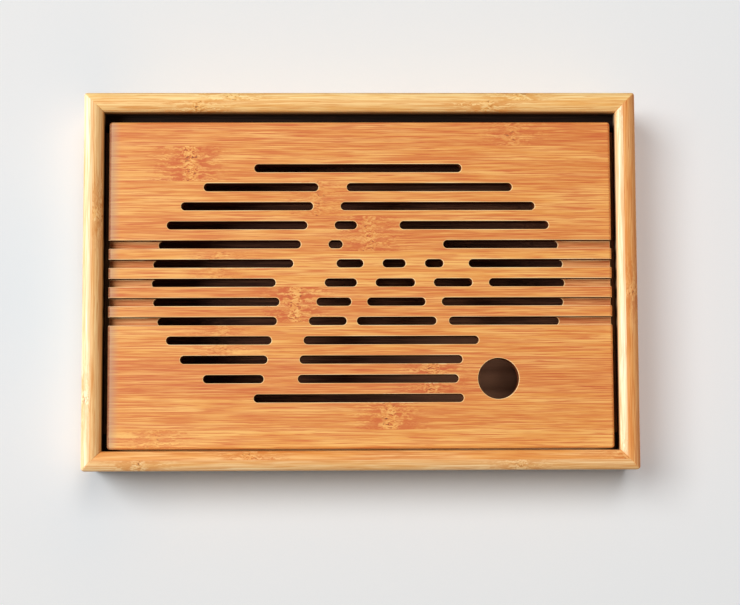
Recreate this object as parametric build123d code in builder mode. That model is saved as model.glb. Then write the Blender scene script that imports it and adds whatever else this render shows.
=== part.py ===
from build123d import *
import os

os.makedirs("parts", exist_ok=True)

# Tray on its feet, front face on -Y, all lengths in millimetres
tray_length = 380.0
tray_depth = 260.0
tray_height = 65.0

# Frame of four mitred rails with a rounded, slightly flat crown
rail_thickness = 13.5
rail_crown_height = 4.4
rail_shoulder_radius = 2.9
frame_corner_ease = 2.0
frame_corner_bulge = 0.45
rail_foot_chamfer = 1.0

# Base board, glued into a rabbet under the rails
base_thickness = 6.0
rabbet_width = 7.0
base_fit = 0.25

# Rubber feet under the base board
foot_height = 3.0
foot_radius = 7.5
foot_inset = 24.0
foot_web = 1.0
foot_recess_fit = 0.6

# Pan-head screws that hold the feet
screw_radius = 1.4
screw_head_radius = 2.8
screw_head_height = 1.2
screw_bite = 4.5
screw_fit = 0.05

# Top board, laid on ledges and pushed against the front rail
panel_thickness = 12.0
panel_recess = 4.5
panel_side_gap = 3.75
panel_front_gap = 1.2
panel_back_gap = 6.8
panel_corner_radius = 2.0
panel_edge_radius = 2.0

# Drain slots and the blind grooves that carry the middle rows to both ends
slot_width = 5.6
slot_pitch = 13.2
slot_rows_shift = 1.1
groove_depth = 7.0
groove_rows_each_way = 2

# Finger hole, on the line of the last row but one
finger_hole_radius = 14.0
finger_hole_share = 0.544

# Ledges under the top board
ledge_width = 12.0
ledge_height = 6.5

# Window in the front rail and the drawer that fills it
window_side_margin = 30.0
window_corner_radius = 3.0
drawer_reveal = 0.6
drawer_running_gap = 0.3
drawer_box_inset = 2.0
drawer_side_drop = 4.0
drawer_side_thickness = 8.0
drawer_back_thickness = 8.0
drawer_floor_thickness = 4.0
drawer_floor_lift = 3.0
drawer_tongue = 4.0
drawer_housing = 5.0
drawer_joint_fit = 0.1
drawer_front_ease = 1.0
pull_notch_width = 64.0
pull_notch_depth = 13.0

# Strips that guide the drawer and blocks that stop it
guide_gap = 0.4
guide_width = 8.0
guide_height = 12.0
guide_front_inset = 1.5
stop_thickness = 4.0
stop_length = 30.0
stop_height = 14.0
stop_gap = 0.3
stop_share = 0.6

# Overrun of every cut past the face that it leaves by
overrun = 1.0

# Ends of the drain slots, back row first, as shares of half the board's length.
# The bridges left between them draw a stalk of bamboo with its leaves.
slot_end_shares = [
    [(-0.422, 0.404)],
    [(-0.623, -0.167), (-0.054, 0.605)],
    [(-0.713, -0.188), (-0.078, 0.695)],
    [(-0.769, -0.211), (-0.102, -0.014), (0.156, 0.750)],
    [(-0.804, -0.237), (-0.127, -0.071), (0.329, 0.790)],
    [(-0.825, -0.267), (-0.095, 0.011), (0.088, 0.179), (0.256, 0.329), (0.430, 0.808)],
    [(-0.830, -0.337), (-0.142, -0.015), (0.060, 0.216), (0.291, 0.444), (0.510, 0.815)],
    [(-0.824, -0.322), (-0.175, -0.037), (0.026, 0.257), (0.322, 0.809)],
    [(-0.807, -0.332), (-0.205, -0.056), (-0.015, 0.300), (0.350, 0.791)],
    [(-0.769, -0.353), (-0.226, 0.467)],
    [(-0.714, -0.369), (-0.242, 0.402)],
    [(-0.623, -0.384), (-0.249, 0.386)],
    [(-0.423, 0.406)],
]

# Levels above the table
rail_bottom = foot_height
base_top = rail_bottom + base_thickness
panel_top = tray_height - panel_recess
panel_bottom = panel_top - panel_thickness
ledge_bottom = panel_bottom - ledge_height
window_bottom = base_top
window_top = ledge_bottom

# Plan of the frame
inner_length = tray_length - 2 * rail_thickness
inner_depth = tray_depth - 2 * rail_thickness
inner_front = -inner_depth / 2
inner_back = inner_depth / 2

# Crown of the rails: one wide arc between two tight shoulders that it runs into smoothly
rail_half = rail_thickness / 2
rail_spring = tray_height - rail_crown_height
shoulder_offset = rail_half - rail_shoulder_radius
crown_sag = rail_crown_height - rail_shoulder_radius
crown_radius = (shoulder_offset**2 + rail_crown_height**2 - rail_shoulder_radius**2) / (2 * crown_sag)
shoulder_reach = rail_shoulder_radius / (crown_radius - rail_shoulder_radius)
crown_half = shoulder_offset * (1 + shoulder_reach)
crown_foot = rail_spring + (crown_radius - rail_crown_height) * shoulder_reach

# Plan of the top board
panel_length = inner_length - 2 * panel_side_gap
panel_depth = inner_depth - panel_front_gap - panel_back_gap
panel_centre = inner_front + panel_front_gap + panel_depth / 2
panel_half = panel_length / 2
middle_row = len(slot_end_shares) // 2
slot_middle = panel_centre + slot_rows_shift
finger_hole_row = len(slot_end_shares) - 2


def row_line(row):
    """Distance of a row of slots from the tray's middle, the back row being 0."""
    return slot_middle + (middle_row - row) * slot_pitch


# Drawer, closed
window_width = tray_length - 2 * window_side_margin
drawer_bottom = base_top + drawer_running_gap
drawer_front_top = window_top - drawer_reveal
drawer_side_top = window_top - drawer_side_drop
drawer_front_width = window_width - 2 * drawer_reveal
drawer_half = window_width / 2 - drawer_box_inset
drawer_inner_half = drawer_half - drawer_side_thickness
drawer_back_face = inner_back - stop_thickness - stop_gap
drawer_back_inner = drawer_back_face - drawer_back_thickness
drawer_floor_bottom = drawer_bottom + drawer_floor_lift
drawer_floor_top = drawer_floor_bottom + drawer_floor_thickness

# Where the feet stand
foot_across = tray_length / 2 - foot_inset
foot_along = tray_depth / 2 - foot_inset
foot_places = {
    "front_left_foot": (-foot_across, -foot_along),
    "front_right_foot": (foot_across, -foot_along),
    "back_left_foot": (-foot_across, foot_along),
    "back_right_foot": (foot_across, foot_along),
}


def box_between(low, high, mode=Mode.ADD):
    """A box from its low corner to its high corner."""
    sizes = [b - a for a, b in zip(low, high)]
    middle = tuple((a + b) / 2 for a, b in zip(low, high))
    with Locations(middle):
        Box(*sizes, mode=mode)


# Frame rails: one moulding, mitred at both ends, its outer corner eased by a shallow arc
def frame_rail(along, across):
    """Front rail of a frame with this plan size: section run along X, outer face on -Y."""
    outer = -across / 2
    inner = outer + rail_thickness
    middle = outer + rail_half
    with BuildPart() as rail:
        with BuildSketch(Plane.YZ):
            with BuildLine():
                Polyline(
                    (inner, rail_spring),
                    (inner, base_top),
                    (inner - rabbet_width, base_top),
                    (inner - rabbet_width, rail_bottom),
                    (outer + rail_foot_chamfer, rail_bottom),
                    (outer, rail_bottom + rail_foot_chamfer),
                    (outer, rail_spring),
                )
                for edge, side in ((outer, -1), (inner, 1)):
                    TangentArc((edge, rail_spring), (middle + side * crown_half, crown_foot), tangent=(0, 1))
                ThreePointArc(
                    (middle - crown_half, crown_foot),
                    (middle, tray_height),
                    (middle + crown_half, crown_foot),
                )
            make_face()
        extrude(amount=along / 2, both=True)
        with BuildSketch(Plane.XY):
            with BuildLine():
                Polyline(
                    (-along / 2, outer),
                    (along / 2, outer),
                    (along / 2 - rail_thickness, inner),
                    (-along / 2 + rail_thickness, inner),
                    close=True,
                )
            make_face()
        extrude(amount=tray_height, mode=Mode.INTERSECT)
        for end in (-1, 1):
            corner = Vector(end * along / 2, outer)
            across_end = Vector(end * along / 2, outer + frame_corner_ease)
            along_end = Vector(end * (along / 2 - frame_corner_ease), outer)
            outward = (corner - (across_end + along_end) / 2).normalized()
            crown = (across_end + along_end) / 2 + outward * frame_corner_bulge
            with BuildSketch(Plane.XY):
                with BuildLine():
                    ThreePointArc(along_end, crown, across_end)
                    Polyline(
                        across_end,
                        across_end + Vector(end * overrun, 0),
                        corner + Vector(end * overrun, -overrun),
                        along_end + Vector(0, -overrun),
                        along_end,
                    )
                make_face()
            extrude(amount=tray_height, mode=Mode.SUBTRACT)
    return rail.part


with BuildPart() as front_rail:
    add(frame_rail(tray_length, tray_depth))
    with BuildSketch(Plane.XZ.offset(tray_depth / 2 + overrun)):
        with Locations((0, (window_bottom + window_top) / 2)):
            RectangleRounded(window_width, window_top - window_bottom, window_corner_radius)
    extrude(amount=-(rail_thickness + 2 * overrun), mode=Mode.SUBTRACT)

with BuildPart() as back_rail:
    add(frame_rail(tray_length, tray_depth), rotation=(0, 0, 180))

with BuildPart() as left_rail:
    add(frame_rail(tray_depth, tray_length), rotation=(0, 0, -90))

with BuildPart() as right_rail:
    add(frame_rail(tray_depth, tray_length), rotation=(0, 0, 90))

# Base board, flush with the underside of the rails
with BuildPart() as base_board:
    with BuildSketch(Plane.XY.offset(rail_bottom)):
        Rectangle(
            inner_length + 2 * (rabbet_width - base_fit),
            inner_depth + 2 * (rabbet_width - base_fit),
        )
    extrude(amount=base_thickness)
    with Locations(*[Location((x, y, rail_bottom), (180, 0, 0)) for x, y in foot_places.values()]):
        Hole(screw_radius + screw_fit, depth=screw_bite)


# Rubber foot: a round pad with a recess under its middle for the screw
def rubber_foot(place):
    """A foot that stands on the table at this place."""
    with BuildPart() as foot:
        with BuildSketch():
            with Locations(place):
                Circle(foot_radius)
        extrude(amount=foot_height)
        with Locations(Location((*place, 0), (180, 0, 0))):
            CounterBoreHole(
                screw_radius + screw_fit,
                screw_head_radius + foot_recess_fit,
                foot_height - foot_web,
                depth=foot_height,
            )
    return foot.part


with BuildPart() as front_left_foot:
    add(rubber_foot(foot_places["front_left_foot"]))

with BuildPart() as front_right_foot:
    add(rubber_foot(foot_places["front_right_foot"]))

with BuildPart() as back_left_foot:
    add(rubber_foot(foot_places["back_left_foot"]))

with BuildPart() as back_right_foot:
    add(rubber_foot(foot_places["back_right_foot"]))

# Foot screws: pan head up in the recess, shank through the rubber into the base board
with BuildPart() as foot_screw:
    head_top = foot_height - foot_web
    with BuildSketch(Plane.XY.offset(head_top - screw_head_height)):
        Circle(screw_head_radius)
    extrude(amount=screw_head_height)
    with BuildSketch(Plane.XY.offset(head_top)):
        Circle(screw_radius)
    extrude(amount=foot_web + screw_bite)

with BuildPart() as foot_screws:
    with Locations(*foot_places.values()):
        add(foot_screw.part)

# Ledges: long ones at the front and back, short ones between them
with BuildPart() as front_ledge:
    box_between(
        (-inner_length / 2, inner_front, ledge_bottom),
        (inner_length / 2, inner_front + ledge_width, panel_bottom),
    )

with BuildPart() as back_ledge:
    box_between(
        (-inner_length / 2, inner_back - ledge_width, ledge_bottom),
        (inner_length / 2, inner_back, panel_bottom),
    )

with BuildPart() as left_ledge:
    box_between(
        (-inner_length / 2, inner_front + ledge_width, ledge_bottom),
        (-inner_length / 2 + ledge_width, inner_back - ledge_width, panel_bottom),
    )

with BuildPart() as right_ledge:
    box_between(
        (inner_length / 2 - ledge_width, inner_front + ledge_width, ledge_bottom),
        (inner_length / 2, inner_back - ledge_width, panel_bottom),
    )

# Top board with its slots, grooves and finger hole
with BuildPart() as slotted_panel:
    with BuildSketch(Plane.XY.offset(panel_bottom)):
        with Locations((0, panel_centre)):
            RectangleRounded(panel_length, panel_depth, panel_corner_radius)
    extrude(amount=panel_thickness)
    fillet(slotted_panel.faces().sort_by(Axis.Z)[-1].edges(), panel_edge_radius)
    with BuildSketch(Plane.XY.offset(panel_bottom)):
        for row, ends in enumerate(slot_end_shares):
            for start, end in ends:
                with Locations(((start + end) / 2 * panel_half, row_line(row))):
                    SlotOverall((end - start) * panel_half, slot_width)
    extrude(amount=panel_thickness, mode=Mode.SUBTRACT)
    with BuildSketch(Plane.XY.offset(panel_top)):
        for row in range(middle_row - groove_rows_each_way, middle_row + groove_rows_each_way + 1):
            left_end = slot_end_shares[row][0][0] * panel_half + slot_width / 2
            right_end = slot_end_shares[row][-1][1] * panel_half - slot_width / 2
            with Locations((-panel_half - overrun, row_line(row))):
                Rectangle(left_end + panel_half + overrun, slot_width, align=(Align.MIN, Align.CENTER))
            with Locations((panel_half + overrun, row_line(row))):
                Rectangle(panel_half + overrun - right_end, slot_width, align=(Align.MAX, Align.CENTER))
    extrude(amount=-groove_depth, mode=Mode.SUBTRACT)
    with Locations((finger_hole_share * panel_half, row_line(finger_hole_row), panel_top)):
        Hole(finger_hole_radius, depth=panel_thickness)

# Drawer front: fills the window, with a half-moon notch to pull it by
with BuildPart() as drawer_front:
    with BuildSketch(Plane.XZ.offset(tray_depth / 2)):
        with Locations((0, (drawer_bottom + drawer_front_top) / 2)):
            RectangleRounded(
                drawer_front_width,
                drawer_front_top - drawer_bottom,
                window_corner_radius - drawer_reveal,
            )
    extrude(amount=-rail_thickness)
    with BuildSketch(Plane.XZ.offset(tray_depth / 2)):
        with BuildLine():
            ThreePointArc(
                (-pull_notch_width / 2, drawer_front_top),
                (0, drawer_front_top - pull_notch_depth),
                (pull_notch_width / 2, drawer_front_top),
            )
            Line((pull_notch_width / 2, drawer_front_top), (-pull_notch_width / 2, drawer_front_top))
        make_face()
    extrude(amount=-rail_thickness, mode=Mode.SUBTRACT)
    chamfer(drawer_front.faces().sort_by(Axis.Y)[0].edges(), drawer_front_ease)
    for side in (-1, 1):
        housing_middle = side * (drawer_half - drawer_side_thickness / 2)
        housing_half = drawer_side_thickness / 2 + drawer_joint_fit
        box_between(
            (housing_middle - housing_half, inner_front - drawer_housing, drawer_bottom - overrun),
            (housing_middle + housing_half, inner_front + overrun, drawer_side_top + drawer_joint_fit),
            mode=Mode.SUBTRACT,
        )
    box_between(
        (-drawer_half, inner_front - drawer_tongue, drawer_floor_bottom),
        (drawer_half, inner_front + overrun, drawer_floor_top),
        mode=Mode.SUBTRACT,
    )


# Drawer sides: housed in the front, rabbeted for the back, grooved for the floor
def drawer_side(hand):
    """The side of the drawer on the left for -1 and on the right for 1."""
    outer = hand * drawer_half
    inner = hand * drawer_inner_half
    groove = hand * (drawer_inner_half + drawer_tongue)
    clear = hand * (drawer_inner_half - overrun)
    front_end = inner_front - drawer_housing + drawer_joint_fit
    with BuildPart() as side:
        box_between(
            (min(inner, outer), front_end, drawer_bottom),
            (max(inner, outer), drawer_back_face, drawer_side_top),
        )
        box_between(
            (min(clear, groove), front_end - overrun, drawer_floor_bottom),
            (max(clear, groove), drawer_back_face + overrun, drawer_floor_top),
            mode=Mode.SUBTRACT,
        )
        box_between(
            (min(clear, groove), drawer_back_inner, drawer_bottom - overrun),
            (max(clear, groove), drawer_back_face + overrun, drawer_side_top + overrun),
            mode=Mode.SUBTRACT,
        )
    return side.part


with BuildPart() as drawer_left_side:
    add(drawer_side(-1))

with BuildPart() as drawer_right_side:
    add(drawer_side(1))

# Drawer back: stands in the sides' rabbets and holds the back edge of the floor
with BuildPart() as drawer_back:
    back_half = drawer_inner_half + drawer_tongue - drawer_joint_fit
    box_between(
        (-back_half, drawer_back_inner, drawer_bottom),
        (back_half, drawer_back_face, drawer_side_top),
    )
    box_between(
        (-back_half - overrun, drawer_back_inner - overrun, drawer_floor_bottom),
        (back_half + overrun, drawer_back_inner + drawer_tongue, drawer_floor_top),
        mode=Mode.SUBTRACT,
    )

# Drawer floor: its edges lie in the grooves all round
with BuildPart() as drawer_floor:
    floor_half = drawer_inner_half + drawer_tongue - drawer_joint_fit
    box_between(
        (-floor_half, inner_front - drawer_tongue + drawer_joint_fit, drawer_floor_bottom),
        (floor_half, drawer_back_inner + drawer_tongue - drawer_joint_fit, drawer_floor_top),
    )

# Guides: strips on the base board beside the drawer
guide_inner = drawer_half + guide_gap
with BuildPart() as left_guide:
    box_between(
        (-guide_inner - guide_width, inner_front + guide_front_inset, base_top),
        (-guide_inner, inner_back, base_top + guide_height),
    )

with BuildPart() as right_guide:
    box_between(
        (guide_inner, inner_front + guide_front_inset, base_top),
        (guide_inner + guide_width, inner_back, base_top + guide_height),
    )

# Stops: two blocks on the base board against the back rail
with BuildPart() as drawer_stops:
    for side in (-1, 1):
        stop_middle = side * stop_share * drawer_half
        box_between(
            (stop_middle - stop_length / 2, inner_back - stop_thickness, base_top),
            (stop_middle + stop_length / 2, inner_back, base_top + stop_height),
        )

pieces = {
    "front_rail": front_rail,
    "back_rail": back_rail,
    "left_rail": left_rail,
    "right_rail": right_rail,
    "base_board": base_board,
    "front_ledge": front_ledge,
    "back_ledge": back_ledge,
    "left_ledge": left_ledge,
    "right_ledge": right_ledge,
    "left_guide": left_guide,
    "right_guide": right_guide,
    "drawer_stops": drawer_stops,
    "front_left_foot": front_left_foot,
    "front_right_foot": front_right_foot,
    "back_left_foot": back_left_foot,
    "back_right_foot": back_right_foot,
    "foot_screws": foot_screws,
    "slotted_panel": slotted_panel,
    "drawer_front": drawer_front,
    "drawer_left_side": drawer_left_side,
    "drawer_right_side": drawer_right_side,
    "drawer_back": drawer_back,
    "drawer_floor": drawer_floor,
}

for name, piece in pieces.items():
    piece.part.label = name
    export_step(piece.part, f"parts/{name}.step")
    box = piece.part.bounding_box()
    print(f"{name}: {len(piece.part.solids())} solids, {piece.part.volume:.0f} mm3, {box.size}")
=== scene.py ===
from math import pi, radians

import bpy
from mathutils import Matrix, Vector


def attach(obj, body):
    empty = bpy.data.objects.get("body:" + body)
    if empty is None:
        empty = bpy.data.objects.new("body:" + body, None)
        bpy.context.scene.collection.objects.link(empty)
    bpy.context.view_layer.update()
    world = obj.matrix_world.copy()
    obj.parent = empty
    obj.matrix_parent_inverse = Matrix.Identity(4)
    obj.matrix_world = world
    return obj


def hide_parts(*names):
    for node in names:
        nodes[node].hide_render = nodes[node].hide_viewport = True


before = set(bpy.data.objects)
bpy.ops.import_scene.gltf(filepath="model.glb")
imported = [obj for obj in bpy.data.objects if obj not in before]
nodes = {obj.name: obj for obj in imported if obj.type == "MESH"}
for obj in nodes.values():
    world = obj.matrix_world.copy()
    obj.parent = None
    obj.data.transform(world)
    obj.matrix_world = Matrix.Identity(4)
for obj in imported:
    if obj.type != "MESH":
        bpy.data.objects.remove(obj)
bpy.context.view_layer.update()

# The view: looking down on the tray from a little in front of its middle, as the photograph does.
# A short telephoto lens 1.3 m above the table keeps the frame almost square on. Its place, turn
# and length were fitted to the outline of the tray.
camera_data = bpy.data.cameras.new("overhead_camera")
camera_data.sensor_width = 36.0
camera_data.lens = 87.75
camera = bpy.data.objects.new("overhead_camera", camera_data)
camera.location = (-0.017495, -0.126376, 1.290)
camera.rotation_euler = (0.09, -0.019, -0.004)
bpy.context.scene.collection.objects.link(camera)
bpy.context.scene.camera = camera
bpy.context.scene.view_settings.view_transform = "Standard"

# The table: a wide sheet of matt white paper, lit by a soft light high at the rear left and one
# overhead. The tray has its own soft box, lower at the left, so that its light falls along the
# slots, and a weak warm fill from the right.


def srgb(code):
    """Linear RGBA of a colour written as a hex code."""
    parts = [int(code[i : i + 2], 16) / 255 for i in (1, 3, 5)]
    return (*[p / 12.92 if p <= 0.04045 else ((p + 0.055) / 1.055) ** 2.4 for p in parts], 1.0)


def add_node(tree, kind, sockets=(), **settings):
    """Adds a node with its settings, and sets its sockets or links them to sockets or nodes."""
    node = tree.nodes.new("ShaderNode" + kind)
    for name, value in settings.items():
        setattr(node, name, value)
    for socket, value in dict(sockets).items():
        if isinstance(value, bpy.types.Node):
            value = value.outputs[0]
        if isinstance(value, bpy.types.NodeSocket):
            tree.links.new(value, node.inputs[socket])
        else:
            node.inputs[socket].default_value = value
    return node


def new_material(name):
    """An empty material and its node tree."""
    material = bpy.data.materials.new(name)
    material.use_nodes = True
    material.node_tree.nodes.clear()
    return material, material.node_tree


def fade(material, centre, reach, tint, most):
    """Fades the colour of a material into a tint near a place, within a reach along X and Y.

    A reach of 0 leaves that direction out, so that the tint lies along a whole edge.
    """
    tree = material.node_tree
    surface = tree.nodes["Principled BSDF"]
    per_reach = [1 / size if size else 0.0 for size in reach]
    where = add_node(tree, "TexCoord").outputs["Object"]
    away = add_node(tree, "VectorMath", {0: where, 1: centre}, operation="SUBTRACT")
    away = add_node(tree, "VectorMath", {0: away, 1: per_reach}, operation="MULTIPLY")
    away = add_node(tree, "VectorMath", {0: away}, operation="LENGTH").outputs["Value"]
    limits = {"Value": away, "From Min": 1.0, "From Max": 0.0, "To Max": most}
    amount = add_node(tree, "MapRange", limits, interpolation_type="SMOOTHSTEP")
    colour = surface.inputs["Base Color"].links[0].from_socket
    colour = add_node(tree, "MixRGB", {"Fac": amount, "Color1": colour, "Color2": srgb(tint)})
    tree.links.new(colour.outputs["Color"], surface.inputs["Base Color"])


bpy.ops.object.select_all(action="DESELECT")
bpy.ops.mesh.primitive_plane_add(size=12.0, location=(0, 0, 0))
table = bpy.context.object
table.name = "paper_table"

# Uncoated paper: its tooth, about 1 mm wide, scatters light evenly, so it has hardly any gloss. It
# throws a little less light back on the tray than the eye sees. Beside the left rail, which is
# brightly lit, a cool painted shade tones down the warm light the rail throws on the paper, so it
# stays as even as in the photograph.
paper, tree = new_material("matt_white_paper")
where = add_node(tree, "TexCoord").outputs["Object"]
tooth = add_node(tree, "TexNoise", {"Vector": where, "Scale": 900.0, "Detail": 3.0})
seen_white = add_node(
    tree, "MixRGB", {"Fac": tooth, "Color1": srgb("#F8F9F9"), "Color2": srgb("#FCFCFC")}
)
seen = add_node(tree, "LightPath").outputs["Is Camera Ray"]
white = add_node(tree, "MixRGB", {"Fac": seen, "Color1": srgb("#DDDDDD"), "Color2": seen_white})
finish = {"Base Color": white, "Roughness": 0.9, "Specular IOR Level": 0.1}
surface = add_node(tree, "BsdfPrincipled", finish)
add_node(tree, "OutputMaterial", {"Surface": surface})
table.data.materials.append(paper)
# Painted shade beside the left rail: a cool, darker tint against the rail's warm bounce light
fade(paper, (-0.20, 0.0, 0.0), (0.13, 0.235, 0.0), "#DFEEFA", 1.0)

# Each light: its place, width and height in metres, power in watts, tint, and whether it lights
# the paper or the tray
for name, place, width, height, power, tint, linked in (
    ("window_light", (-3.10, 1.40, 6.10), 3.0, 3.3, 247.0, "#FFFFFF", "INCLUDE"),
    ("ceiling_light", (0.25, 0.70, 3.85), 0.9, 2.6, 51.0, "#FFFFFF", "INCLUDE"),
    ("side_light", (-3.05, 0.45, 2.38), 1.8, 2.1, 219.0, "#FFFFFF", "EXCLUDE"),
    ("fill_light", (2.60, 0.00, 1.60), 2.0, 1.5, 30.0, "#FFD5A6", "EXCLUDE"),
):
    light_data = bpy.data.lights.new(name, "AREA")
    light_data.shape = "RECTANGLE"
    light_data.size = width
    light_data.size_y = height
    light_data.energy = power
    light_data.color = srgb(tint)[:3]
    light = bpy.data.objects.new(name, light_data)
    light.location = place
    aim = Vector((0, 0, 0.05)) - Vector(place)
    light.rotation_euler = aim.to_track_quat("-Z", "Y").to_euler()
    bpy.context.scene.collection.objects.link(light)
    lit = bpy.data.collections.new("lit_by_" + name)
    lit.objects.link(table)
    lit.collection_objects[0].light_linking.link_state = linked
    light.light_linking.receiver_collection = lit

# The room is dim, so that the slots stay dark, but looks pale where the camera sees past the paper
room = bpy.data.worlds.new("pale_room")
room.use_nodes = True
tree = room.node_tree
tree.nodes.clear()
seen = add_node(tree, "LightPath").outputs["Is Camera Ray"]
strength = add_node(tree, "MapRange", {"Value": seen, "To Min": 0.13, "To Max": 1.0})
air = add_node(tree, "Background", {"Color": srgb("#ECEDED"), "Strength": strength})
add_node(tree, "OutputWorld", {"Surface": air})
bpy.context.scene.world = room

# Frame rails: four mouldings of laminated bamboo, each of two plies glued back to back along the
# crest, and each ply of three layers one above the other. Their ends are mitred and glued, and
# their arrises and the frame's outer corners sanded.


def copy_of(name):
    """A copy of a CAD piece with its loose triangles merged into whole faces, selected and active."""
    bpy.ops.object.select_all(action="DESELECT")
    piece = nodes[name].copy()
    piece.data = nodes[name].data.copy()
    piece.parent = None
    for key in list(piece.keys()):
        del piece[key]
    piece.name = "finished_" + name
    piece.data.materials.clear()
    bpy.context.scene.collection.objects.link(piece)
    piece.select_set(True)
    bpy.context.view_layer.objects.active = piece
    bpy.ops.object.mode_set(mode="EDIT")
    bpy.ops.mesh.select_all(action="SELECT")
    bpy.ops.mesh.remove_doubles(threshold=1e-6)
    bpy.ops.mesh.dissolve_limited(angle_limit=radians(0.1))
    bpy.ops.object.mode_set(mode="OBJECT")
    return piece


def block(size, middle):
    """A box of the given size about its middle."""
    bpy.ops.object.select_all(action="DESELECT")
    bpy.ops.mesh.primitive_cube_add(size=1.0, location=middle)
    box = bpy.context.object
    box.scale = size
    bpy.ops.object.transform_apply(location=True, rotation=False, scale=True)
    return box


def shape_by(piece, former, operation):
    """Cuts a piece with a former, which is then thrown away."""
    bpy.ops.object.select_all(action="DESELECT")
    piece.select_set(True)
    bpy.context.view_layer.objects.active = piece
    trim = piece.modifiers.new("trim", "BOOLEAN")
    trim.operation = operation
    trim.object = former
    bpy.ops.object.modifier_apply(modifier=trim.name)
    bpy.data.objects.remove(former)


def round_corners(piece, length, width, middle, radius):
    """Rounds the upright corners of a piece that lies in a rectangle centred at Y middle."""
    former = block((length, width, 0.2), (0, middle, 0.04))
    corner = former.modifiers.new("corner", "BEVEL")
    corner.width = radius
    corner.segments = 8
    bpy.ops.object.modifier_apply(modifier=corner.name)
    shape_by(piece, former, "INTERSECT")


def ease_edges(piece, width, segments, eased=0):
    """Rounds the sharp edges of a piece as sandpaper would; the rounding takes the given material."""
    bevel = piece.modifiers.new("ease", "BEVEL")
    bevel.width = width
    bevel.segments = segments
    bevel.use_clamp_overlap = False
    bevel.loop_slide = False
    bevel.limit_method = "ANGLE"
    bevel.angle_limit = radians(35)
    bevel.material = eased
    bpy.ops.object.modifier_apply(modifier=bevel.name)
    bpy.ops.object.shade_smooth_by_angle(angle=radians(32))
    flat = piece.modifiers.new("flat", "WEIGHTED_NORMAL")
    flat.keep_sharp = True
    bpy.ops.object.modifier_apply(modifier=flat.name)


def stand_in(piece, node, body):
    """The piece takes a CAD node's place on its body, and the node is hidden."""
    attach(piece, body)
    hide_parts(node)


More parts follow.
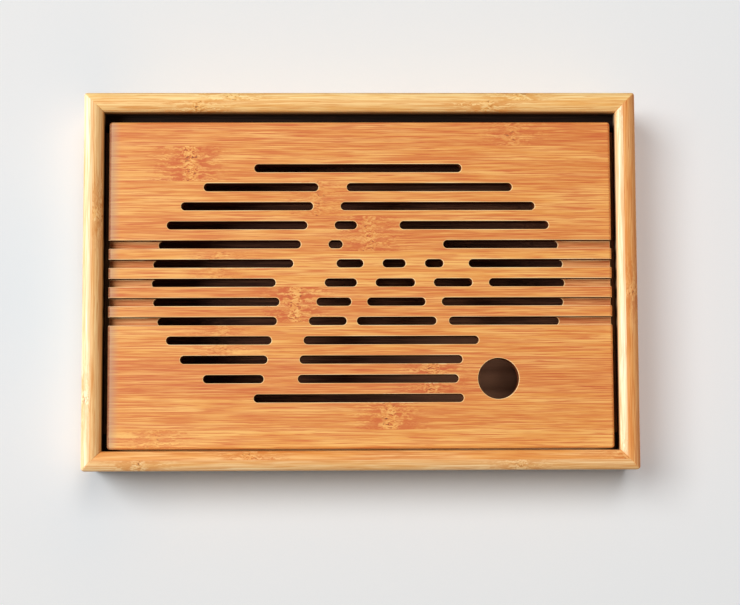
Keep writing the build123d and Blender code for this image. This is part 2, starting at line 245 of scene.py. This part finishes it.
def bamboo(name, turn, steps, rows, tints, others, gloss, lacquer=0.5, spacing=0.4, gap_shade=None):
    """Bamboo glued up of layers, its grain along X once turned about Z.

    Each step (axis, start, width, weight) counts layers. Each row is one layer: where its knot lies
    along the grain, how pale it is, how strong its knot is, and its share of the other tints.
    Tints are pale, ground, deep, red and fleck. Knots come back at the spacing. Gap shade (side, face,
    top) is painted shade: it darkens an inner face below a level.
    """
    glue_core, glue_edge = 0.00008, 0.00022
    knot_core, knot_edge = 0.0025, 0.0062
    flank_core, flank_edge = 0.004, 0.034
    material, tree = new_material(name)
    where = add_node(tree, "TexCoord").outputs["Object"]
    turned = add_node(tree, "Mapping", {"Vector": where, "Rotation": (0, 0, turn)})
    along, across, up = add_node(tree, "SeparateXYZ", {"Vector": turned}).outputs

    # Number of the layer at this point, and the glue lines where it changes
    number, glue = 0.0, 0.0
    for axis, start, width, weight in steps:
        place = across if axis == "across" else up
        count = add_node(tree, "Math", {0: place, 1: start}, operation="SUBTRACT")
        count = add_node(tree, "Math", {0: count, 1: width}, operation="DIVIDE")
        near = add_node(tree, "Math", {0: count, 1: 0.5}, operation="PINGPONG")
        limits = {"Value": near, "From Min": glue_edge / width, "From Max": glue_core / width}
        line = add_node(tree, "MapRange", limits)
        glue = add_node(tree, "Math", {0: line, 1: glue}, operation="MAXIMUM")
        count = add_node(tree, "Math", {0: count}, operation="FLOOR")
        parts = {0: count, 1: float(weight), 2: number}
        number = add_node(tree, "Math", parts, operation="MULTIPLY_ADD")

    # The layer's row: its colours hold the knot's place, the tone, the knot's strength and the share
    parts = {0: number, 1: 1 / len(rows), 2: 0.5 / len(rows)}
    share = add_node(tree, "Math", parts, operation="MULTIPLY_ADD")
    book = add_node(tree, "ValToRGB", {"Fac": share})
    book.color_ramp.interpolation = "CONSTANT"
    book.color_ramp.elements.remove(book.color_ramp.elements[1])
    for k, (place, tone, force, other) in enumerate(rows):
        stops = book.color_ramp.elements
        stop = stops.new(k / len(rows)) if k else stops[0]
        stop.color = (0.5 + place, 0.5 + tone, force, other)
    knot_place, row_tone, row_force = add_node(tree, "SeparateColor", {"Color": book}).outputs
    mixed = book.outputs["Alpha"]
    pale, ground, deep, red, fleck = [
        add_node(tree, "MixRGB", {"Fac": mixed, "Color1": srgb(one), "Color2": srgb(two)})
        for one, two in zip(tints, others)
    ]

    # Distance along the grain from the knot, which wanders 4.5 mm each way across the layer
    wander = add_node(tree, "TexNoise", {"Vector": turned, "Scale": 320.0, "Detail": 1.0})
    wander = add_node(tree, "MapRange", {"Value": wander, "To Min": 0.4955, "To Max": 0.5045})
    gap = add_node(tree, "Math", {0: along, 1: knot_place}, operation="SUBTRACT")
    gap = add_node(tree, "Math", {0: gap, 1: wander})
    gap = add_node(tree, "Math", {0: gap, 1: spacing / 2, 2: -spacing / 2}, operation="WRAP")
    gap = add_node(tree, "Math", {0: gap}, operation="ABSOLUTE")
    knot, flank = [
        add_node(
            tree,
            "MapRange",
            {"Value": gap, "From Min": edge, "From Max": core, "To Max": row_force},
            interpolation_type="SMOOTHSTEP",
        )
        for core, edge in ((knot_core, knot_edge), (flank_core, flank_edge))
    ]

    # Fibres: one solid bundle pattern, shifted for each layer, in waves 70 mm long that grow from
    # 0.5 mm to 3.4 mm near the knot, where curls 4 mm across join them
    shift = add_node(tree, "CombineXYZ", {"X": number, "Y": number})
    parts = {0: shift, 1: (0.37, 0.053, 0.0), 2: turned}
    shift = add_node(tree, "VectorMath", parts, operation="MULTIPLY_ADD")
    slow = add_node(tree, "Mapping", {"Vector": shift, "Scale": (14.0, 90.0, 90.0)})
    wave = add_node(tree, "TexNoise", {"Vector": slow, "Scale": 1.0, "Detail": 1.0})
    wave_size = add_node(tree, "MapRange", {"Value": flank, "To Min": 0.0005, "To Max": 0.0034})
    curl = add_node(tree, "TexNoise", {"Vector": shift, "Scale": 260.0, "Detail": 2.0})
    curl_size = add_node(tree, "Math", {0: flank, 1: 0.0030}, operation="MULTIPLY")
    bent = shift
    for noise, size in ((wave, wave_size), (curl, curl_size)):
        parts = {0: noise.outputs["Color"], 1: (0.5, 0.5, 0.5)}
        push = add_node(tree, "VectorMath", parts, operation="SUBTRACT")
        push = add_node(tree, "VectorMath", {0: push, "Scale": size}, operation="SCALE")
        bent = add_node(tree, "VectorMath", {0: bent, 1: push})

    # Length and width of the bands, bundles, fine fibres and threads. Real fibres are 0.3 mm wide;
    # the finest here are 0.6 mm, so that they show.
    grains = []
    for length, width, detail in (
        (0.075, 0.0055, 1.0),
        (0.055, 0.0011, 1.0),
        (0.026, 0.0006, 2.0),
        (0.110, 0.0016, 0.0),
    ):
        stretch = (1 / length, 1 / width, 1 / width)
        fitted = add_node(tree, "Mapping", {"Vector": bent, "Scale": stretch})
        look = {"Vector": fitted, "Scale": 1.0, "Detail": detail, "Roughness": 0.6}
        grains.append(add_node(tree, "TexNoise", look))
    broad, middle, fine, thread = grains

    # Colour: the layer's tone, then pale and deep streaks, red threads and fine dark fibres
    limits = {"Value": broad, "From Min": 0.30, "From Max": 0.70, "To Min": -2.0, "To Max": 1.0}
    tone = add_node(tree, "MapRange", limits)
    tone = add_node(tree, "Math", {0: row_tone, 1: 3.0, 2: tone}, operation="MULTIPLY_ADD")
    paler = add_node(tree, "Math", {0: tone, 1: -1.0}, use_clamp=True)
    darker = add_node(tree, "Math", {0: 1.0, 1: tone}, operation="SUBTRACT", use_clamp=True)
    colour = add_node(tree, "MixRGB", {"Fac": darker, "Color1": ground, "Color2": deep})
    colour = add_node(tree, "MixRGB", {"Fac": paler, "Color1": colour, "Color2": pale})
    for value, low, high, most, tint in (
        (middle, 0.50, 0.68, 0.50, deep),
        (middle, 0.48, 0.34, 0.50, pale),
        (fine, 0.53, 0.63, 0.85, red),
        (fine, 0.47, 0.35, 0.70, pale),
    ):
        limits = {"Value": value, "From Min": low, "From Max": high, "To Max": most}
        amount = add_node(tree, "MapRange", limits)
        colour = add_node(tree, "MixRGB", {"Fac": amount, "Color1": colour, "Color2": tint})
    ridge = add_node(tree, "Math", {0: thread, 1: 0.5}, operation="SUBTRACT")
    ridge = add_node(tree, "Math", {0: ridge}, operation="ABSOLUTE")
    limits = {"Value": ridge, "From Min": 0.090, "From Max": 0.020, "To Max": 1.1}
    ridge = add_node(tree, "MapRange", limits)
    ridge = add_node(tree, "Math", {0: ridge, 1: broad}, operation="MULTIPLY")
    colour = add_node(tree, "MixRGB", {"Fac": ridge, "Color1": colour, "Color2": red})

    # Knots: reddish flanks in patches 13 by 2.4 mm, and in the knot itself curly flecks of 3.6 by
    # 1.3 mm, pale, red and dark
    patch = (1 / 0.013, 1 / 0.0024, 1 / 0.0024)
    fitted = add_node(tree, "Mapping", {"Vector": bent, "Scale": patch})
    blush = add_node(tree, "TexNoise", {"Vector": fitted, "Scale": 1.0, "Detail": 1.0})
    blush = add_node(tree, "MapRange", {"Value": blush, "From Min": 0.46, "From Max": 0.58})
    blush = add_node(tree, "Math", {0: blush, 1: flank}, operation="MULTIPLY")
    colour = add_node(tree, "MixRGB", {"Fac": blush, "Color1": colour, "Color2": red})
    patch = (1 / 0.0036, 1 / 0.0013, 1 / 0.0013)
    fitted = add_node(tree, "Mapping", {"Vector": bent, "Scale": patch})
    look = {"Vector": fitted, "Scale": 1.0, "Detail": 1.0, "Distortion": 1.0}
    speck = add_node(tree, "TexNoise", look)
    flecks = ground
    for low, high, tint in ((0.52, 0.62, pale), (0.50, 0.40, red), (0.345, 0.31, fleck)):
        amount = add_node(tree, "MapRange", {"Value": speck, "From Min": low, "From Max": high})
        flecks = add_node(tree, "MixRGB", {"Fac": amount, "Color1": flecks, "Color2": tint})
    colour = add_node(tree, "MixRGB", {"Fac": knot, "Color1": colour, "Color2": flecks})
    glue = add_node(tree, "Math", {0: glue, 1: 0.4}, operation="MULTIPLY")
    colour = add_node(tree, "MixRGB", {"Fac": glue, "Color1": colour, "Color2": red})

    # Painted shade in the gap down the inside, from its top level to full at 53 mm above the table
    if gap_shade:
        side, face, top = gap_shade
        limits = {"Value": up, "From Min": top, "From Max": 0.0530, "To Max": 0.95}
        depth = add_node(tree, "MapRange", limits)
        inner = add_node(tree, "Math", {0: across, 1: side}, operation="MULTIPLY")
        inner = add_node(tree, "Math", {0: inner, 1: face}, operation="GREATER_THAN")
        gap_shade_amount = add_node(tree, "Math", {0: depth, 1: inner}, operation="MULTIPLY")
        gap_shade_tint = srgb("#1C110B")
        colour = add_node(tree, "MixRGB", {"Fac": gap_shade_amount, "Color1": colour, "Color2": gap_shade_tint})

    # The finish lies thin: its gloss changes with the fibres, which it lets stand up by 0.08 mm
    limits = {"Value": fine, "From Min": 0.3, "From Max": 0.7}
    sheen = add_node(
        tree, "MapRange", {**limits, "To Min": gloss - 0.05, "To Max": gloss + 0.07}
    )
    relief = add_node(tree, "Math", {0: speck, 1: knot, 2: fine}, operation="MULTIPLY_ADD")
    bump = add_node(tree, "Bump", {"Height": relief, "Strength": 0.5, "Distance": 0.00008})
    finish = {"Base Color": colour, "Roughness": sheen, "Specular IOR Level": lacquer}
    surface = add_node(tree, "BsdfPrincipled", {**finish, "Normal": bump})
    add_node(tree, "OutputMaterial", {"Surface": surface})
    return material


# Natural bamboo is straw-coloured and, steamed, turns amber. Under a clear satin lacquer it keeps
# its colour and shows the lamps as broad soft lights along the crown.
natural = ("#FADCA8", "#F3C98A", "#E9B46E", "#DB9B56", "#935C30")
amber = ("#F6C07A", "#EFAA58", "#E29342", "#D37A34", "#7E4826")
# Painted light: the next three sets are paler, yellower copies of natural and amber. The cream one
# whitens the side rails' pale plies as a painted highlight; the golden one brightens the back rail and
# the honey one the left rail, where the lamps fall short. The rails' rows below also differ in tone for
# the same reason.
painted_highlight_cream = ("#FCE4BE", "#F8D8A6", "#EFC286", "#DDA664", "#935C30")
painted_light_golden = ("#FFE5A4", "#FCD68A", "#F0BC68", "#E0A250", "#935C30")
painted_light_honey = ("#FFD488", "#F8BC62", "#E8A048", "#D88636", "#7E4826")
satin, clear_lacquer = 0.45, 0.6
layer_height = 0.0207

# Plan of the frame, 0.1 mm over its size so that only its corners are cut, and their radius. The
# painted shade in the gaps starts 13.1 mm in from the outer face, on the skin of the inner one.
frame_length, frame_width, frame_corner = 0.3801, 0.2601, 0.0030
gap_shade_skin = 0.0131

# Each rail: the turn that lays it along X, the side its inner face is on, how far its seam lies in
# from the outer face, its knots' spacing, the level its painted gap shade starts at, its tints, and
# the layers upwards of the ply on the low side of the crest and then of the other: knot, tone, share
for name, turn, inside, seam, spacing, gap_shade_top, tints, others, low_ply, high_ply in (
    (
        "front_rail", 0, 1, 0.0072, 0.26, None, natural, amber,
        ((0.03, 0.1, 0.3), (-0.06, 0.1, 0.3), (0.109, 0.12, 0.2)),
        ((0.0, 0.0, 0.7), (0.1, 0.0, 0.7), (-0.076, 0.04, 0.9)),
    ),
    (
        "back_rail", 0, -1, 0.0062, 0.198, 0.06, painted_light_golden, amber,
        ((0.0, 0.2, 0.4), (0.08, 0.2, 0.4), (-0.111, 0.4, 0.4)),
        ((0.03, 0.3, 0.4), (-0.06, 0.3, 0.4), (-0.089, 0.4, 0.15)),
    ),
    (
        "left_rail", pi / 2, 1, 0.0066, 0.26, 0.0625, painted_highlight_cream, painted_light_honey,
        ((-0.06, -0.6, 0.6), (0.03, -0.5, 0.5), (0.08, -0.15, 0.15)),
        ((0.0, 0.2, 0.8), (0.1, 0.2, 0.8), (-0.046, 0.5, 0.7)),
    ),
    (
        "right_rail", pi / 2, -1, 0.0086, 0.26, 0.06, painted_highlight_cream, amber,
        ((0.0, 0.1, 0.2), (0.05, 0.1, 0.2), (0.13, -0.05, 0.2)),
        ((-0.06, 0.05, 0.9), (0.03, 0.05, 0.9), (0.008, 0.08, 0.9)),
    ),
):
    half = 0.19 if turn else 0.13
    crest = (seam - half) * inside
    steps = [("up", 0.003, layer_height, 1), ("across", crest - 0.1, 0.1, 3)]
    rows = [(place, tone, 0.8, share) for place, tone, share in low_ply + high_ply]
    # Painted shade on the inner face, down in the gap between rail and board
    gap_shade = (inside, gap_shade_skin - half, gap_shade_top) if gap_shade_top else None
    laminated = name + "_laminated_bamboo"
    rail = copy_of(name)
    rail.data.materials.append(
        bamboo(laminated, turn, steps, rows, tints, others, satin, clear_lacquer, spacing, gap_shade)
    )
    round_corners(rail, frame_length, frame_width, 0.0, frame_corner)
    ease_edges(rail, 0.00025, 1)
    stand_in(rail, name, "carcass")

# Base board, ledges, guides and stops: plain bamboo boards glued up of strips 65 and 100 mm wide
# and sealed with a thin matt coat. They are glued into the frame. Those under the rear gap are
# painted nearly black, a painted shade in the gap, and the front ledge is painted dark only at its
# ends, a painted shade in the corners.
strips_along = [("across", -0.13, 0.065, 1)]
strips_across = [("across", -0.2, 0.1, 1)]
plain_rows = (
    (0.05, 0.0, 0.5, 0.0),
    (-0.1, 0.05, 0.4, 0.3),
    (0.12, -0.1, 0.5, 0.0),
    (-0.02, 0.0, 0.5, 0.3),
)


def plain_board(node, body, material):
    """A plain board in a CAD node's place, its arrises sanded."""
    piece = copy_of(node)
    piece.data.materials.append(material)
    ease_edges(piece, 0.0004, 2)
    stand_in(piece, node, body)


# Sealed bamboo is browner and duller than lacquered; the nearly black set is painted shade for
# boards deep in the gaps
plain = ("#A77B4E", "#8E6440", "#76502F", "#643C24", "#3C2415")
dark_gap_tints = ("#2E1E16", "#22160F", "#1A110C", "#170E0A", "#0D0806")
sealed_along = bamboo("sealed_bamboo_along", 0, strips_along, plain_rows, plain, plain, 0.6, 0.3)
shade_dark_along = bamboo(
    "shade_dark_bamboo_along", 0, strips_along, plain_rows, dark_gap_tints, dark_gap_tints, 0.7, 0.1
)
clear_along = bamboo("clear_bamboo_along", 0, strips_along, plain_rows, natural, amber, 0.6, 0.3)
sealed_across = bamboo(
    "sealed_bamboo_across", pi / 2, strips_across, plain_rows, plain, plain, 0.6, 0.3
)
# Painted shade: the front ledge darkens toward both ends, in the corners of the gap
for end in (-0.1765, 0.1765):
    fade(clear_along, (end, 0.0, 0.0), (0.018, 0.0, 0.0), "#1C120C", 1.0)
for name, material in (
    ("base_board", sealed_along),
    ("front_ledge", clear_along),
    # The back ledge and stops take the painted shade, as they lie under the rear gap
    ("back_ledge", shade_dark_along),
    ("drawer_stops", shade_dark_along),
    ("left_ledge", sealed_across),
    ("right_ledge", sealed_across),
    ("left_guide", sealed_across),
    ("right_guide", sealed_across),
):
    plain_board(name, "carcass", material)

# Feet: round pads of black rubber, moulded in one piece with the recess that takes the screw head.
# Each stands under a corner of the base board and grips the table.
# Moulded rubber is dull, with a fine grit from the mould, drawn 0.4 mm wide.
rubber, tree = new_material("moulded_black_rubber")
where = add_node(tree, "TexCoord").outputs["Object"]
grit = add_node(tree, "TexNoise", {"Vector": where, "Scale": 2500.0, "Detail": 2.0})
shade = add_node(
    tree, "MixRGB", {"Fac": grit, "Color1": srgb("#1D1D1C"), "Color2": srgb("#2A2A29")}
)
bump = add_node(tree, "Bump", {"Height": grit, "Strength": 0.4, "Distance": 0.00005})
finish = {"Base Color": shade, "Roughness": 0.75, "Normal": bump}
surface = add_node(tree, "BsdfPrincipled", finish)
add_node(tree, "OutputMaterial", {"Surface": surface})
for name in ("front_left_foot", "front_right_foot", "back_left_foot", "back_right_foot"):
    foot = copy_of(name)
    foot.data.materials.append(rubber)
    ease_edges(foot, 0.0006, 3)
    stand_in(foot, name, "carcass")

# Foot screws: steel pan heads with a pressed cross recess, driven up through the feet into the
# base board.
# Zinc plating is a pale grey metal whose crystals, 0.7 mm wide, are now brighter, now duller.
zinc, tree = new_material("zinc_plated_steel")
where = add_node(tree, "TexCoord").outputs["Object"]
bloom = add_node(tree, "TexNoise", {"Vector": where, "Scale": 1500.0, "Detail": 3.0})
shade = add_node(
    tree, "MixRGB", {"Fac": bloom, "Color1": srgb("#B9BCC0"), "Color2": srgb("#D3D3CF")}
)
rough = add_node(tree, "MapRange", {"Value": bloom, "To Min": 0.25, "To Max": 0.45})
surface = add_node(tree, "BsdfPrincipled", {"Base Color": shade, "Metallic": 1.0, "Roughness": rough})
add_node(tree, "OutputMaterial", {"Surface": surface})
recess_length, recess_width, recess_depth = 0.0032, 0.0008, 0.0008
screws = copy_of("foot_screws")
screws.data.materials.append(zinc)
head_face = min(vertex.co.z for vertex in screws.data.vertices)
for x in (-0.166, 0.166):
    for y in (-0.106, 0.106):
        for length, width in ((recess_length, recess_width), (recess_width, recess_length)):
            punch = block((length, width, 2 * recess_depth), (x, y, head_face))
            shape_by(screws, punch, "DIFFERENCE")
ease_edges(screws, 0.00015, 2)
stand_in(screws, "foot_screws", "carcass")

# Top board: ten lamellae of steamed bamboo, 24.4 mm wide, glued edge to edge and milled with drain
# slots, blind grooves and the finger hole. It lies loose on the ledges and lifts out.
lamellae = [("across", -0.1265, 0.0244, 1)]
panel_rows = (
    (-0.141, 0.24, 0.5, 0.0),
    (0.0195, -0.03, 0.9, 0.3),
    (0.0488, -0.08, 0.9, 0.8),
    (-0.0943, 0.04, 0.5, 0.2),
    (-0.0449, -0.03, 1.0, 0.6),
    (-0.0977, 0.22, 0.5, 0.0),
    (0.0056, 0.0, 0.8, 0.6),
    (-0.0302, 0.02, 0.5, 0.3),
    (-0.117, 0.02, 1.0, 0.4),
    (0.105, -0.05, 0.6, 0.7),
)
panel = copy_of("slotted_panel")

# Steaming caramelises bamboo to an orange brown, under satin lacquer on top. The slots' walls are
# painted dark, a painted shade in the cuts, and the cutter leaves the grooves' floors bare. The
# sanded arrises round the cuts are bare and paler, partly as bare bamboo is and partly as a painted
# highlight. At the left edge the top and arrises carry a painted grey sheen with a little shade,
# and the grooves' floors a painted shadow of the left rail.
caramel = ("#F2BC6C", "#E7A351", "#DB8C42", "#CF6E35", "#70391C")
russet = ("#EDB067", "#DF934C", "#D27A3C", "#C55D30", "#5C2C18")
# Painted shade: the walls of the cuts are tinted a dark red brown
cut_wall_shade = ("#7A3C1C", "#622D13", "#4E220F", "#431C0C", "#2A1208")
# Paler arrises: bare sanded bamboo, and a painted highlight along the cut edges
sanded_and_highlight = ("#FFE0AC", "#F9D197", "#F2C082", "#E8AD6A", "#C08A5A")
milled = ("#EBAA6C", "#DC8F52", "#CA7741", "#BC6034", "#5A2C1A")
deck, wall, arris, groove = range(4)
for name, tints, others, gloss, lacquer in (
    ("caramelised_bamboo", caramel, russet, 0.5, 0.6),
    ("shade_dark_bamboo_wall", cut_wall_shade, cut_wall_shade, 0.7, 0.1),
    ("sanded_highlit_bamboo_arris", sanded_and_highlight, sanded_and_highlight, 0.6, 0.3),
    ("milled_bamboo_floor", milled, milled, 0.6, 0.3),
):
    panel.data.materials.append(
        bamboo(name, 0, lamellae, panel_rows, tints, others, gloss, lacquer)
    )
# Painted light at the left edge: a greyish sheen with a little shade on the top and arrises, and a
# painted shadow of the left rail on the grooves' floors
left_edge = (-0.17275, 0.0, 0.0)
for k, reach, tint in ((deck, 0.009, "#B2967F"), (arris, 0.009, "#A0826E"), (groove, 0.0055, "#2E170D")):
    fade(panel.data.materials[k], left_edge, (reach, 0.0, 0.0), tint, 0.65)

# The board's corners are rounded, and then its cuts told apart from its rim by their place
panel_length, panel_width, panel_middle, panel_corner = 0.3456, 0.2251, -0.0028, 0.0026
round_corners(panel, panel_length, panel_width, panel_middle, panel_corner)
top = max(vertex.co.z for vertex in panel.data.vertices)
edge_x = max(vertex.co.x for vertex in panel.data.vertices) - 0.0001
edge_y = [pick(vertex.co.y for vertex in panel.data.vertices) for pick in (min, max)]
rim = 0.002
for polygon in panel.data.polygons:
    x, y, z = polygon.center
    inboard = abs(x) < edge_x - rim and edge_y[0] + rim < y < edge_y[1] - rim
    if abs(polygon.normal.z) < 0.3 and inboard:
        polygon.material_index = wall
    bottom = polygon.normal.z > 0.9 and z < top - 0.003
    if bottom or (polygon.normal.x < -0.1 and not inboard):
        polygon.material_index = groove
ease_edges(panel, 0.00045, 2, arris)
stand_in(panel, "slotted_panel", "top_board")

# Drawer front: a board of natural bamboo in two layers, glued to the drawer's sides, that fills the
# window in the front rail and has a half-moon notch to pull it by. It is lacquered like the rails,
# and a little glossier.
front_rows = ((0.06, 0.0, 0.8, 0.0), (-0.07, 0.08, 0.8, 0.3), (0.1, 0.0, 0.5, 0.0))
front_layers = [("up", 0.003, layer_height, 1)]
front = copy_of("drawer_front")
front.data.materials.append(
    bamboo("drawer_front_bamboo", 0, front_layers, front_rows, natural, amber, 0.34, spacing=0.3)
)
ease_edges(front, 0.0003, 2)
stand_in(front, "drawer_front", "drawer")

# Drawer box: thin bamboo boards, housed and grooved into each other and glued. Sealed bamboo that
# tea has darkened is a deep dull brown. The floor carries a painted pool of light, paler under the
# finger hole.
stewed = ("#83543A", "#6C412B", "#563120", "#4A2719", "#2C170F")
along, across, floor = [
    bamboo("tea_dark_bamboo_" + name, turn, strips, plain_rows, stewed, stewed, 0.6, 0.3)
    for name, turn, strips in (
        ("along", 0, strips_along),
        ("across", pi / 2, strips_across),
        ("floor", 0, strips_along),
    )
]
# Painted light: a paler pool on the drawer floor under the finger hole
fade(floor, (0.0900, -0.0700, 0.0), (0.095, 0.065, 0.0), "#9A6C50", 0.9)
for name, material in (
    ("drawer_floor", floor),
    ("drawer_back", along),
    ("drawer_left_side", across),
    ("drawer_right_side", across),
):
    plain_board(name, "drawer", material)
